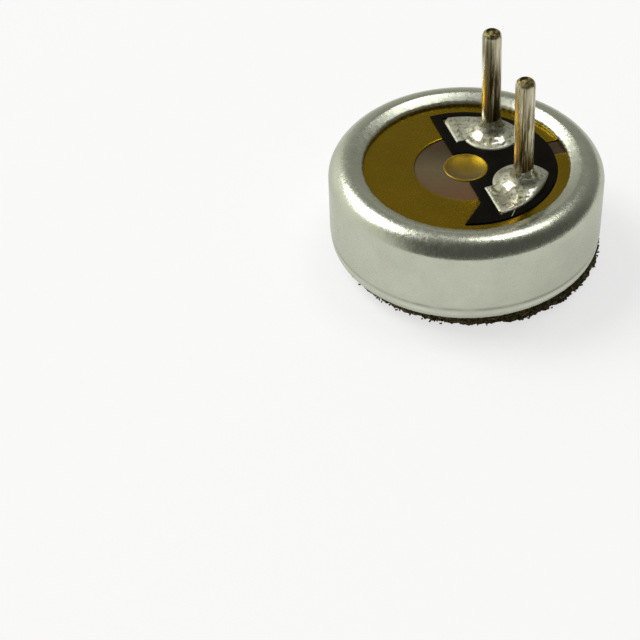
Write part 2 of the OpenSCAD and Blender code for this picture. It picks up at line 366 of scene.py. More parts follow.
class Finish(Nodes):
    """A procedural material."""

    def __init__(self, name, **values):
        self.material = bpy.data.materials.new(name)
        self.material.use_nodes = True
        super().__init__(self.material.node_tree)
        self.shader = self.tree.nodes["Principled BSDF"]
        self.set({key.replace("_", " "): value for key, value in values.items()})

    def set(self, values):
        """Sets or joins the shader's sockets."""
        self.fill(self.shader, values)

    def place(self, stretch=(1, 1, 1), turn=0.0):
        """Coordinates on the part in millimetres, turned round Z and stretched."""
        where = self.node("TexCoord", {}).outputs["Object"]
        turned_round = self.node("Mapping", {"Vector": where, "Rotation": (0, 0, turn)}).outputs[0]
        scale = [value / MM for value in stretch]
        return self.node("Mapping", {"Vector": turned_round, "Scale": scale}).outputs[0]

    def axis(self, where, name):
        """One coordinate of a place."""
        return self.node("SeparateXYZ", {"Vector": where}).outputs[name]

    def from_axis(self):
        """Distance from the part's upright axis, in millimetres."""
        flat = self.place((1, 1, 0))
        return self.node("VectorMath", {0: flat}, operation="LENGTH").outputs["Value"]

    def attribute(self, name):
        """A value that the mesh carries at its points."""
        return self.node("Attribute", {}, attribute_name=name).outputs["Fac"]

    def progress(self, value, start, end):
        """The same as the function of this name, for a socket."""
        return self.node("MapRange", {"Value": value, "From Min": start, "From Max": end}).outputs[0]

    def noise(self, where, scale, detail=3.0, roughness=0.6):
        """Noise with features about 1/scale across, its number of finer layers and their share."""
        inputs = {"Vector": where, "Scale": scale, "Detail": detail, "Roughness": roughness}
        return self.node("TexNoise", inputs).outputs[0]

    def ramp(self, factor, *stops):
        """Colours or grey levels between positions, as pairs of position and value."""
        node = self.node("ValToRGB", {"Fac": factor})
        band = node.color_ramp.elements
        while len(band) < len(stops):
            band.new(0.5)
        for element, (position, value) in zip(band, stops):
            element.position = position
            element.color = opaque(value)
        return node.outputs["Color"]

    def tones(self, factor, dark, light):
        """Two colours or levels, spread over the range of noise."""
        return self.ramp(factor, (NOISE_LOW, dark), (NOISE_HIGH, light))

    def mix(self, factor, first, second):
        """The first colour where the factor is 0 and the second where it is 1."""
        node = self.node("Mix", {}, data_type="RGBA")
        self.fill(node, {0: factor, 6: first, 7: second})
        return node.outputs[2]

    def bump(self, height, depth, below=None):
        """A bump of the given depth in millimetres, on top of another one."""
        inputs = {"Height": height, "Distance": depth * MM, "Strength": 1.0}
        if below is not None:
            inputs["Normal"] = below
        return self.node("Bump", inputs).outputs[0]


# The lip is rubbed from the first distance inside the roll's top and fully from the second, down to the foil
RUB_START = 0.02
RUB_FULL = 0.14
RUB_UNDER = 0.1

# A painted shade line lies in the fine step near the can's foot, and a painted highlight band lies under it
STEP_LINE_HALF = 0.07
BRIGHT_UNDER = 0.11


def aluminium_finish():
    finish = Finish("satin_aluminium", Metallic=1.0, Specular_Tint=ALUMINIUM_TINT)
    where = finish.place()
    cloud = finish.noise(where, scale=1.6, detail=4.0)
    dents = finish.noise(where, scale=7.0, roughness=0.55)
    grain = finish.noise(where, scale=26.0)
    specks = finish.noise(where, scale=9.0, detail=5.0, roughness=0.7)
    patches = finish.noise(where, scale=0.9)
    height = finish.axis(where, "Z")

    # The rolled lip is rubbed rough by the tool that closed the can
    lip = finish.progress(finish.from_axis(), ROLL_X - RUB_START, ROLL_X - RUB_FULL)
    above = finish.count("GREATER_THAN", height, FOIL_TOP - RUB_UNDER)
    rubbed = finish.count("MULTIPLY", lip, above)
    smooth = finish.tones(specks, 0.20, 0.32)
    rough = finish.tones(specks, 0.24, 0.38)
    depth = finish.mix(rubbed, finish.ramp(grain, (0.0, 0.18), (1.0, 0.82)), grain)

    tone = finish.tones(cloud, *ALUMINIUM)
    broken = finish.ramp(patches, (0.40, 0.2), (0.58, 0.9))
    # A painted shade line along the step and a painted highlight band under it, both broken into patches
    for middle, colour in ((RIDGE_Z, STEP_PAINTED_SHADE), (RIDGE_Z - BRIGHT_UNDER, STEP_PAINTED_HIGHLIGHT)):
        off_line = finish.count("ABSOLUTE", finish.count("SUBTRACT", height, middle))
        line = finish.progress(off_line, STEP_LINE_HALF, 0.0)
        tone = finish.mix(finish.count("MULTIPLY", line, broken), tone, colour)
    scuffs = finish.ramp(specks, (0.58, 0.0), (0.74, 0.35))
    finish.set({
        "Base Color": finish.mix(scuffs, tone, SCUFF),
        "Roughness": finish.mix(rubbed, smooth, rough),
        "Normal": finish.bump(depth, 0.0035, finish.bump(dents, 0.004, finish.bump(cloud, 0.006))),
    })
    return finish.material


def foil_finish():
    finish = Finish("gold_foil", Metallic=1.0)
    where = finish.place()
    cloud = finish.noise(where, scale=1.1, roughness=0.5)
    grain = finish.noise(where, scale=24.0, roughness=0.65)
    dust = finish.ramp(grain, (0.60, 0.0), (0.75, 0.35))
    finish.set({
        "Base Color": finish.mix(dust, finish.tones(cloud, *GOLD), GOLD_DUST),
        "Roughness": finish.tones(grain, 0.20, 0.30),
        "Normal": finish.bump(grain, 0.0013),
    })
    return finish.material


def land_finish():
    finish = Finish("brushed_gold_land", Metallic=1.0, Coat_Weight=0.25, Coat_Roughness=0.12, Coat_IOR=1.7)
    along = finish.place((9.0, 0.8, 1.0), -CAMERA_AZIMUTH)
    strokes = finish.noise(along, scale=3.0)
    grain = finish.noise(finish.place(), scale=24.0)
    bowl = finish.count("POWER", finish.from_axis(), 2.0)
    finish.set({
        "Base Color": finish.tones(strokes, *LAND_GOLD),
        "Roughness": finish.tones(strokes, 0.37, 0.43),
        "Normal": finish.bump(grain, 0.005, finish.bump(bowl, 0.36)),
    })
    return finish.material


def laminate_finish():
    finish = Finish("paper_laminate", Specular_IOR_Level=0.15)
    away = finish.axis(finish.place(turn=-CAMERA_AZIMUTH), "Y")
    cloud = finish.noise(finish.place(), scale=1.3, roughness=0.5)
    fibres = finish.noise(finish.place((1.0, 5.0, 1.0), 0.6), scale=5.0, detail=4.0, roughness=0.65)
    # The board is painted darker towards the side away from the camera, a painted shade under the far rim;
    # the reddish near tone is the laminate's own colour
    band = finish.progress(finish.count("MULTIPLY_ADD", cloud, 0.5, away), -0.75, 1.25)
    tone = finish.ramp(band, (0.05, LAMINATE_NEAR), (0.42, LAMINATE_MIDDLE), (0.85, LAMINATE_AWAY_PAINTED_SHADE))
    finish.set({
        "Base Color": finish.mix(finish.ramp(fibres, (0.4, 0.0), (0.7, 0.35)), tone, LAMINATE_FIBRE),
        "Roughness": finish.tones(fibres, 0.38, 0.55),
        "Normal": finish.bump(fibres, 0.002),
    })
    return finish.material


def mask_finish():
    finish = Finish("black_solder_mask", Specular_IOR_Level=0.04)
    where = finish.place()
    cloud = finish.noise(where, scale=3.0, detail=4.0)
    grain = finish.noise(where, scale=30.0, detail=2.0, roughness=0.5)
    finish.set({
        "Base Color": finish.tones(cloud, *MASK_BLACK),
        "Roughness": finish.tones(cloud, 0.34, 0.5),
        "Normal": finish.bump(grain, 0.0008),
    })
    return finish.material


def solder_finish():
    """Pitted and stained solder, with a duller rim where the mesh's border value is 1."""
    finish = Finish("dull_solder", Metallic=1.0, Coat_Roughness=0.08, Coat_IOR=2.2)
    border = finish.attribute("border")
    where = finish.place()
    stains = finish.noise(where, scale=3.5)
    pits = finish.noise(where, scale=11.0, detail=4.0, roughness=0.7)
    grain = finish.noise(where, scale=28.0, roughness=0.7)
    skin = finish.ramp(pits, (0.38, SOLDER_PIT), (0.47, SOLDER_DULL), (0.66, SOLDER_LIGHT))
    skin = finish.mix(finish.ramp(stains, (0.42, 0.4), (0.58, 0.0)), skin, SOLDER_STAIN)
    finish.set({
        "Base Color": finish.mix(border, skin, finish.tones(grain, *SOLDER_RIM)),
        "Roughness": finish.tones(grain, 0.42, 0.58),
        "Normal": finish.bump(grain, 0.005, finish.bump(pits, 0.006)),
        "Coat Weight": finish.ramp(border, (0.0, 1.0), (0.8, 0.1)),
        "Coat Normal": finish.bump(pits, 0.001),
    })
    return finish.material


def pin_finish():
    """Drawn wire: tin with tarnished lines, more of them where it is worn, and a strip painted bright brass
    as a painted highlight.
    """
    finish = Finish("tinned_brass_wire", Metallic=1.0)
    bare = finish.attribute("bare")
    worn = finish.attribute("worn")
    lines = finish.noise(finish.place((1.0, 1.0, 0.04)), scale=26.0, roughness=0.65)
    streaks = finish.noise(finish.place((1.0, 1.0, 0.05)), scale=9.0, detail=4.0, roughness=0.65)
    few = finish.ramp(lines, (0.40, 0.7), (0.48, 0.0))
    many = finish.ramp(lines, (0.51, 0.95), (0.58, 0.0))
    tin = finish.ramp(streaks, (0.36, TIN_DARK), (0.6, TIN_LIGHT))
    tin = finish.mix(finish.mix(worn, few, many), tin, TARNISH)
    brass = finish.ramp(lines, (0.4, HIGHLIGHT_BRASS_DARK), (0.6, HIGHLIGHT_BRASS_LIGHT))
    finish.set({
        "Base Color": finish.mix(bare, tin, brass),
        "Roughness": finish.mix(bare, finish.tones(streaks, 0.40, 0.24), 0.2),
        "Normal": finish.bump(lines, 0.003, finish.bump(streaks, 0.006)),
    })
    return finish.material


def cut_end_finish():
    finish = Finish("cut_wire_end", Metallic=1.0)
    tears = finish.noise(finish.place(), scale=13.0, detail=4.0, roughness=0.65)
    finish.set({
        "Base Color": finish.ramp(tears, (0.38, CUT_DARK), (0.66, CUT_LIGHT)),
        "Roughness": finish.tones(tears, 0.66, 0.5),
        "Normal": finish.bump(tears, 0.012),
    })
    return finish.material


def felt_finish():
    """Dark wool, each fibre with its own shade."""
    finish = Finish("black_felt", Roughness=0.85, Specular_IOR_Level=0.15, Sheen_Weight=0.15)
    fuzz = finish.noise(finish.place(), scale=40.0, roughness=0.7)
    tone = finish.ramp(finish.attribute("strand"), (0.0, FELT_DARK), (0.75, FELT_BROWN), (1.0, FELT_PALE))
    finish.set({
        "Sheen Tint": FELT_SHEEN,
        "Base Color": finish.mix(finish.ramp(fuzz, (0.35, 0.6), (0.6, 0.0)), tone, FELT_DARK),
        "Normal": finish.bump(fuzz, 0.006),
    })
    return finish.material


def inner_finish(name, dark, light, metallic, low_rough, high_rough, scale=6.0):
    """A plain procedural finish for the pieces inside: a colour that varies, with a fine grain."""
    finish = Finish(name, Metallic=metallic)
    where = finish.place()
    cloud = finish.noise(where, scale=1.5, roughness=0.55)
    grain = finish.noise(where, scale=scale, detail=4.0)
    finish.set({
        "Base Color": finish.tones(cloud, dark, light),
        "Roughness": finish.tones(grain, low_rough, high_rough),
        "Normal": finish.bump(grain, 0.002),
    })
    return finish.material


aluminium = aluminium_finish()
gold = foil_finish()
gold_land = land_finish()
laminate = laminate_finish()
black_mask = mask_finish()
solder = solder_finish()
wire = pin_finish()
wire_end = cut_end_finish()
felt = felt_finish()

# Finishes of the pieces that stay as they are in the frame
inner_finishes = {
    laminate: ("circuit_board",),
    inner_finish("stamped_brass", (0.58, 0.42, 0.17), (0.68, 0.52, 0.24), 1.0, 0.25, 0.4): (
        "diaphragm_ring", "back_plate"),
    inner_finish("nickel_plate", (0.56, 0.54, 0.50), (0.66, 0.64, 0.60), 1.0, 0.2, 0.35): (
        "gate_ring", "capacitor_ends", "transistor_leads"),
    inner_finish("plastic_film", (0.70, 0.70, 0.64), (0.78, 0.78, 0.72), 0.0, 0.2, 0.32): (
        "diaphragm", "electret_film"),
    inner_finish("white_plastic", (0.74, 0.72, 0.67), (0.82, 0.80, 0.75), 0.0, 0.4, 0.55): (
        "spacer_ring", "insulator_ring"),
    inner_finish("inner_gold_foil", (0.36, 0.235, 0.03), (0.43, 0.29, 0.04), 1.0, 0.4, 0.52): (
        "gate_foil", "drain_foil", "source_foil"),
    inner_finish("via_copper", (0.50, 0.22, 0.12), (0.62, 0.30, 0.17), 1.0, 0.3, 0.45): ("vias",),
    inner_finish("moulded_black", (0.010, 0.010, 0.011), (0.020, 0.020, 0.021), 0.0, 0.45, 0.6, 20.0): (
        "transistor",),
    inner_finish("ceramic_brown", (0.28, 0.20, 0.12), (0.36, 0.26, 0.16), 0.0, 0.4, 0.55, 14.0): (
        "capacitor",),
    inner_finish("reflowed_solder", (0.46, 0.46, 0.42), (0.60, 0.60, 0.56), 1.0, 0.25, 0.4): (
        "component_solder",),
}
for finish, names in inner_finishes.items():
    for name in names:
        nodes[name].data.materials.clear()
        nodes[name].data.materials.append(finish)


# Case
CASE_SEGMENTS = 576
CASE_SHARP = 35
FRONT_RINGS = (0.6, 1.8)
RIDGE_HALF = 0.02
RIDGE_BEND = 0.007
RIDGE_BEND_STEP = 0.25 * RIDGE_STEP
WALL_FOOT = 0.1
CREASE_BELOW = 0.014
CREASE_TURN = 2
LIP_UNDER_END = 93
INNER_FOOT = 0.2
PORT_SEGMENTS = 48
PORT_PAST = 0.1

# The lip's upper side as tangent arcs: the turn, the slope and the nose, each a radius and its last tilt
LIP_ARCS = ((0.1536, 19), (1.48, 27), (0.0815, 118))

# The lip lies a little flatter on the side of the camera
LIP_LIFT = 0.006
LIP_FLAT_SIDE = turned(0.4, -0.9, 0)

# The rolled end is uneven from the first distance under the foil, and fully from the second
UNEVEN_START = 0.5
UNEVEN_FULL = 0.1
UNEVEN_INWARD = 0.004
UNEVEN = ((0.004, 0.9, 0.0), (0.002, 3.0, 5.0))

# The lip's edge is ragged from the first distance outside its end, and fully from the second
RAGGED_START = 0.06
RAGGED_FULL = 0.01
RAGGED = ((0.005, 5.0, 9.0), (0.012, 14.0, 3.0))


def lip_points():
    """The lip's upper side, from the roll's top inwards and down to the foil."""
    points = []
    x, z, tilt = ROLL_X, RIM_TOP, 0
    for radius, end in LIP_ARCS:
        middle_x = x + radius * math.sin(math.radians(tilt))
        middle_z = z - radius * math.cos(math.radians(tilt))
        points += arc(middle_x, middle_z, radius, 90 + tilt, 90 + end, steps=10)[1:]
        x, z = points[-1]
        tilt = end
    return points + [(x, FOIL_TOP)]


def case_profile():
    """The can's section from the middle of its front, up the outside, over the rim and down the inside."""
    low_r = CASE_R - RIDGE_STEP
    edge_z = FRONT_Z + FRONT_EDGE_R
    outside = [(radius, FRONT_Z) for radius in (0, *FRONT_RINGS)]
    outside += arc(low_r - FRONT_EDGE_R, edge_z, FRONT_EDGE_R, -90, 0, steps=16)
    outside += [(low_r, RIDGE_Z - RIDGE_HALF), (low_r + RIDGE_BEND_STEP, RIDGE_Z - RIDGE_BEND)]
    outside += [(CASE_R - RIDGE_BEND_STEP, RIDGE_Z + RIDGE_BEND), (CASE_R, RIDGE_Z + RIDGE_HALF)]
    outside += [(CASE_R, z) for z in np.linspace(RIDGE_Z + WALL_FOOT, WALL_TOP - CREASE_BELOW, 8)]
    outside += arc(ROLL_X, ROLL_Z, RIM_R, RIM_CREASE + CREASE_TURN, 90, steps=30)

    lip_in = LIP_R - CASE_WALL
    roll_in = RIM_R - CASE_WALL
    inner_r = CASE_R - CASE_WALL
    lip_start = 180 - math.degrees(math.asin((FOIL_TOP - LIP_Z) / lip_in))
    bend_end = math.degrees(math.acos((inner_r - ROLL_X) / roll_in))
    inside = arc(ROLL_X, LIP_Z, lip_in, lip_start, LIP_UNDER_END, steps=5)
    inside += arc(ROLL_X, ROLL_Z, roll_in, 90, bend_end, steps=10)
    inside += [(inner_r, edge_z + INNER_FOOT)]
    inside += arc(CASE_R - FRONT_EDGE_R, edge_z, FRONT_EDGE_R - CASE_WALL, 0, -90, steps=6)
    inside += [(radius, FRONT_Z + CASE_WALL) for radius in (*reversed(FRONT_RINGS), 0)]
    return outside + lip_points() + inside


def port_cutter():
    """The drills of the sound ports: one in the middle and a circle of them."""
    places = [(0.0, 0.0)]
    for k in range(PORT_COUNT):
        turn = 2 * math.pi * k / PORT_COUNT
        places.append((PORT_CIRCLE_R * math.cos(turn), PORT_CIRCLE_R * math.sin(turn)))
    low, high = FRONT_Z - PORT_PAST, FRONT_Z + CASE_WALL + PORT_PAST
    drill, drill_faces = lathe([(0, low), (PORT_R, low), (PORT_R, high), (0, high)], PORT_SEGMENTS)
    vertices, faces = [], []
    for x, y in places:
        first = len(vertices)
        vertices += [(x + a, y + b, c) for a, b, c in drill]
        faces += [tuple(first + k for k in face) for face in drill_faces]
    return drawn_mesh("ports", vertices, faces)


def case_mesh():
    """The turned can with its sound ports cut, a little uneven where it was rolled."""
    vertices, faces = lathe(case_profile(), CASE_SEGMENTS)
    uneven = []
    for x, y, z in vertices:
        radius = math.hypot(x, y)
        share = progress(z, FOIL_TOP - UNEVEN_START, FOIL_TOP - UNEVEN_FULL)
        push = 1.0
        if share > 0:
            push -= share * max(0.0, waves((x, y, z), UNEVEN) + UNEVEN_INWARD) / radius
        if z > FOIL_TOP - CLOSE:
            ragged = waves((x, y, 0), RAGGED)
            push += ragged * progress(radius, LIP_END + RAGGED_START, LIP_END + RAGGED_FULL) / radius
        if z > FOIL_TOP + CLOSE and radius < ROLL_X:
            near = max(0.0, (x * LIP_FLAT_SIDE.x + y * LIP_FLAT_SIDE.y) / radius)
            z += LIP_LIFT * near * (ROLL_X - radius) / LIP_RUN
        uneven.append((x * push, y * push, z))
    return clean_mesh(cut_mesh(drawn_mesh("can", uneven, faces), port_cutter()), CASE_SHARP)


add_piece("can", case_mesh(), aluminium, "aluminium", "case")


# Board: how far in and how far down the edges are rounded
FOIL_EDGE = (0.1, 0.017)
MASK_EDGE = (0.012, 0.012)
LAND_EDGE = (0.05, 0.028)
LAND_DISH = 0.033
DISH_RINGS = np.linspace(0.97, 0, 24)
LAND_SEGMENTS = 128


def angle_of(point):
    """A point's direction from the middle, in degrees."""
    return math.degrees(math.atan2(point[1], point[0]))


def mask_corner():
    """Where the mask's slanted corner meets its round edge."""
    along = CORNER_Y + MASK_PAST
    apart = MASK_PAST ** 2 + CORNER_Y ** 2 - MASK_R ** 2
    run = (-along + math.sqrt(along ** 2 - 2 * apart)) / 2
    return -MASK_PAST - run, -CORNER_Y - run


def mask_top():
    """Where the mask's straight edge meets its round edge."""
    return -MASK_PAST, math.sqrt(MASK_R ** 2 - MASK_PAST ** 2)


def mask_outline():
    """The mask's outer edge, counter-clockwise from its slanted corner's outer end."""
    hole_r = LAND_R + MASK_SLIP / 2
    hole_turn = math.degrees(math.acos((MASK_PAST - MASK_SLIP) / hole_r))
    outline = arc(0, 0, MASK_R, angle_of(mask_corner()), angle_of(mask_top()), steps=120)
    outline += arc(-MASK_SLIP, -MASK_SLIP, hole_r, 180 - hole_turn, hole_turn - 180, steps=60)
    outline += [(-MASK_PAST, -CORNER_Y)]
    return outline


def pad_outline(side):
    """A terminal pad's outline, on the side of plus or minus Y."""
    pin_far = math.hypot(PIN_X, PIN_Y)
    spread = math.acos((PAD_OUT_R ** 2 + pin_far ** 2 - PAD_R ** 2) / (2 * PAD_OUT_R * pin_far))
    meet = math.atan2(PIN_Y, PIN_X) - spread
    meet_point = (PAD_OUT_R * math.cos(meet), PAD_OUT_R * math.sin(meet))
    step_turn = 180 + math.degrees(math.asin(PAD_STEP / PAD_R))
    meet_turn = 360 + angle_of((meet_point[0] - PIN_X, meet_point[1] - PIN_Y))
    edge_turn = math.degrees(math.acos(PAD_EDGE / PAD_OUT_R))
    outline = [(PAD_EDGE, PIN_Y - PAD_STEP)]
    outline += arc(PIN_X, PIN_Y, PAD_R, step_turn, meet_turn, steps=40)
    outline += arc(0, 0, PAD_OUT_R, math.degrees(meet), edge_turn, steps=40)[1:]
    return [(x, side * y) for x, y in outline]


def ground_outline():
    """The broken foil ring with the half disc inside it, up to the mask and the uncovered laminate."""
    outer_turn = math.degrees(math.asin(GAP_HALF / FOIL_R))
    inner_turn = math.degrees(math.asin(GAP_HALF / MASK_R))
    bare_turn = math.degrees(math.acos(MASK_PAST / BARE_R))
    outline = arc(0, 0, FOIL_R, outer_turn, 360 - outer_turn, steps=200)
    outline += arc(0, 0, MASK_R, -inner_turn, angle_of(mask_corner()), steps=60)
    outline += [(-MASK_PAST, -CORNER_Y)]
    outline += arc(0, 0, BARE_R, 180 + bare_turn, 180 - bare_turn, steps=90)
    outline += arc(0, 0, MASK_R, angle_of(mask_top()), inner_turn, steps=60)
    return outline


def land_mesh():
    """The round land: dished, with a wide rounded edge."""
    round_in, round_down = LAND_EDGE
    profile = [(0, FOIL_Z), (LAND_R, FOIL_Z)]
    crest = LAND_R - round_in
    for across, down in arc(0, 0, 1, 0, 90, steps=8):
        profile.append((crest + round_in * across, FOIL_TOP - round_down * (1 - down)))
    for share in DISH_RINGS:
        profile.append((crest * share, FOIL_TOP - LAND_DISH * (1 - share ** 3)))
    return clean_mesh(drawn_mesh("centre_land", *lathe(profile, LAND_SEGMENTS)))


ground = joined_mesh("ground_area", [
    plate_mesh("ground_ring", [ground_outline()], FOIL_Z, FOIL_TOP, *FOIL_EDGE),
    plate_mesh("ground_pad", [pad_outline(-1)], FOIL_Z, FOIL_TOP, *FOIL_EDGE),
])
output = plate_mesh("output_area", [pad_outline(1)], FOIL_Z, FOIL_TOP, *FOIL_EDGE)
mask_outlines = [mask_outline(), pad_outline(1), pad_outline(-1)]
mask = plate_mesh("black_mask", mask_outlines, FOIL_Z, MASK_TOP, *MASK_EDGE)
add_piece("ground_area", clean_mesh(ground), gold, "foil", "ground_foil")
add_piece("output_area", clean_mesh(output), gold, "foil", "output_pad")
add_piece("centre_land", land_mesh(), gold_land, "foil", "centre_pad")
add_piece("black_mask", clean_mesh(mask), black_mask, "mask", "solder_mask")


# Pins
PIN_SEGMENTS = 64
PIN_RINGS = 24
PIN_SHARP = 45
RING_GAP = 0.1
TIP_R = 0.14
TIP_TURN = 78
END_R = PIN_R - TIP_R
END_RINGS = (0.85, 0.6, 0.3, 0)

# The pins lean a little to the photograph's left
PIN_LEAN = math.radians(1.3)

# The cut end is torn and crowned, and has its own finish from so far under the top
END_TORN = 0.012
END_TORN_SCALE = 9.0
END_SEED = 2.0
END_CROWN = 0.02
END_DEPTH = 0.06

# A strip on the side where the left lamp's highlight falls is painted bright brass, a painted highlight. Each
# pair says where it starts and where it is full
HIGHLIGHT_SIDE = turned(-0.8, -0.6, 0)
HIGHLIGHT_FACING = (0.80, 0.92)
HIGHLIGHT_UNDER_TOP = (0.5, 1.0)
HIGHLIGHT_OVER_FOIL = (0.35, 0.55)
WORN_UNDER_TOP = (0.4, 1.1)


def pin_mesh(name, side):
    """A wire pin with a rounded tip and a slightly crowned cut end, leaning a little."""
    profile = [(0, FOIL_TOP), (PIN_R, FOIL_TOP)]
    straight = np.linspace(FOIL_TOP + RING_GAP, PIN_TOP - TIP_R - RING_GAP, PIN_RINGS)
    profile += [(PIN_R, z) for z in straight]
    profile += arc(END_R, PIN_TOP - TIP_R, TIP_R, 0, TIP_TURN, steps=8)
    profile += [(END_R * share, PIN_TOP) for share in END_RINGS]
    vertices, faces = lathe(profile, PIN_SEGMENTS)
    placed, bare, worn = [], [], []
    for x, y, z in vertices:
        # The strip where the left lamp's highlight falls is marked for a painted highlight
        facing = (x * HIGHLIGHT_SIDE.x + y * HIGHLIGHT_SIDE.y) / PIN_R
        strip = progress(facing, *HIGHLIGHT_FACING) * progress(z - FOIL_TOP, *HIGHLIGHT_OVER_FOIL)
        bare.append(strip * progress(PIN_TOP - z, *HIGHLIGHT_UNDER_TOP))
        worn.append(progress(PIN_TOP - z, *WORN_UNDER_TOP))
        if z > PIN_TOP - CLOSE:
            torn = 1 + wave((x, y, 0), END_TORN_SCALE, END_SEED + side)
            z -= END_TORN * torn + END_CROWN * (x * x + y * y) / END_R ** 2
        shift = LEFT * (z - FOIL_TOP) * math.tan(PIN_LEAN)
        placed.append((x + PIN_X + shift.x, y + side * PIN_Y + shift.y, z))
    mesh = clean_mesh(drawn_mesh(name, placed, faces, bare=bare, worn=worn), PIN_SHARP)
    mesh.materials.append(wire)
    mesh.materials.append(wire_end)
    for face in mesh.polygons:
        if face.center.z > (PIN_TOP - END_DEPTH) * MM:
            face.material_index = 1
    return mesh


add_piece("output_wire", pin_mesh("output_wire", 1), wire, "pin", "output_pin")
add_piece("ground_wire", pin_mesh("ground_wire", -1), wire, "pin", "ground_pin")


# Solder
SOLDER_STEPS = 168
SOLDER_RINGS = 40
SOLDER_SHARP = 75
OUTPUT_SEED = 2.0
GROUND_SEED = 7.0
FOOT_R = PIN_R * 0.97
FILM_H = 0.045
FILM_EDGE = 16
SLOPE_H = 0.195
SLOPE_RUN = 0.5
CLIMB_H = 0.22
CLIMB_RUN = 0.14
BARE_TIP = 0.09

# The flat border's width, and half the width of its change into the skin
BORDER = 0.06
BORDER_CHANGE = 0.03

# The skin's unevenness, which comes in over so far from the pin, and its ripples round the pin
SKIN_RUN = 0.2
SKIN = ((0.006, 2.6, 0.0), (0.006, 9.0, 3.0))
RIPPLE_H = 0.0015
RIPPLE_RATE = 46
RIPPLE_BEND = ((3.0, 1.5, 6.0),)
SPREAD_WAVER = ((0.04, 2.0, 0.0),)

# The run of tin: half its width, its height, and where it starts and ends beside the neck's middle
TIN_HALF = 0.011
TIN_H = 0.004
TIN_STEPS = 8
TIN_SIDES = 6
TIN_START = 0.07
TIN_LEAN = 0.15
TIN_OVERLAP = 0.01
TIN_WAVER = ((0.4, 6.0, 5.0),)


def reach_to(outline, x, y, angle):
    """Distance from a point inside an outline to its edge, in one direction."""
    cos, sin = math.cos(angle), math.sin(angle)
    best = math.inf
    for (ax, ay), (bx, by) in zip(outline, outline[1:] + outline[:1]):
        ex, ey = bx - ax, by - ay
        cross = cos * ey - sin * ex
        if abs(cross) < TINY:
            continue
        along = ((ax - x) * ey - (ay - y) * ex) / cross
        share = ((ax - x) * sin - (ay - y) * cos) / cross
        if along > 0 and -TINY <= share <= 1 + TINY:
            best = min(best, along)
    return best


def tin_run():
    """A thin run of tin over the neck, from the ground pad to the ring."""
    vertices, faces = [], []
    near_y = TIN_OVERLAP - math.sqrt(PAD_OUT_R ** 2 - NECK_X ** 2)
    far_y = -math.sqrt(MASK_R ** 2 - NECK_X ** 2)
    for k in range(TIN_STEPS + 1):
        share = k / TIN_STEPS
        wide = TIN_HALF * (1 + waves((share, 0, 0), TIN_WAVER))
        x = NECK_X + TIN_START - TIN_LEAN * share
        y = near_y + (far_y - near_y) * share
        for across, up in arc(0, 0, 1, 0, 180, TIN_SIDES):
            vertices.append((x + wide * across, y, MASK_TOP + TIN_H * up))
    ring = TIN_SIDES + 1
    for k in range(TIN_STEPS):
        for j in range(ring):
            a, b = k * ring + j, k * ring + (j + 1) % ring
            faces.append((a, b, b + ring, a + ring))
    faces.append(tuple(range(ring)))
    faces.append(tuple(range(TIN_STEPS * ring, (TIN_STEPS + 1) * ring)))
    return vertices, faces


def solder_height(x, y, radius, share, flat, seed):
    """Height of the solder: a film that slopes and then climbs to the pin, with an uneven skin."""
    off_foot = radius - FOOT_R
    height = FILM_H * math.sqrt(max(0.0, 1 - share ** FILM_EDGE))
    height += SLOPE_H * max(0.0, 1 - off_foot / SLOPE_RUN) ** 2
    height += CLIMB_H * max(0.0, 1 - off_foot / CLIMB_RUN) ** 3
    skin = waves((x, y, 0), SKIN, seed)
    skin += RIPPLE_H * math.sin(RIPPLE_RATE * radius + waves((x, y, 0), RIPPLE_BEND, seed))
    return max(0.0, height + skin * progress(off_foot, 0, SKIN_RUN) * (1 - flat))


def solder_mesh(name, side, spread, seed, extra=((), ())):
    """Solder over a pad, with a flat border, and with extra vertices and faces that count as border."""
    outline = pad_outline(side)
    x0, y0 = PIN_X, side * PIN_Y
    edges = []
    for k in range(SOLDER_STEPS):
        angle = 2 * math.pi * k / SOLDER_STEPS
        limit = spread * (1 + waves((math.cos(angle), math.sin(angle), 0), SPREAD_WAVER, seed))
        edges.append((angle, min(reach_to(outline, x0, y0, angle), limit)))

    # The first ring closes the solder under the pin
    vertices = [(x0 + FOOT_R * math.cos(a), y0 + FOOT_R * math.sin(a), FOIL_TOP) for a, _ in edges]
    border = [0.0] * SOLDER_STEPS
    for k in range(SOLDER_RINGS + 1):
        share = 0.5 - 0.5 * math.cos(math.pi * k / SOLDER_RINGS)
        for angle, edge in edges:
            radius = FOOT_R + (edge - FOOT_R) * share
            x, y = x0 + radius * math.cos(angle), y0 + radius * math.sin(angle)
            flat = progress(edge - radius, BORDER + BORDER_CHANGE, BORDER - BORDER_CHANGE)
            vertices.append((x, y, FOIL_TOP + solder_height(x, y, radius, share, flat, seed)))
            border.append(flat)
    ring_starts = range(0, len(vertices), SOLDER_STEPS)
    faces = []
    for low, high in zip(ring_starts, [*ring_starts[1:], 0]):
        for k in range(SOLDER_STEPS):
            after = (k + 1) % SOLDER_STEPS
            faces.append((low + k, low + after, high + after, high + k))
    first = len(vertices)
    extra_vertices, extra_faces = extra
    vertices += extra_vertices
    border += [1.0] * len(extra_vertices)
    faces += [tuple(first + i for i in face) for face in extra_faces]
    return clean_mesh(drawn_mesh(name, vertices, faces, border=border), SOLDER_SHARP)


output_joint = solder_mesh("output_joint", 1, OUTPUT_SPREAD, OUTPUT_SEED)
ground_joint = solder_mesh("ground_joint", -1, GROUND_SPREAD - BARE_TIP, GROUND_SEED, tin_run())
add_piece("output_joint", output_joint, solder, "solder", "output_solder")
add_piece("ground_joint", ground_joint, solder, "solder", "ground_solder")


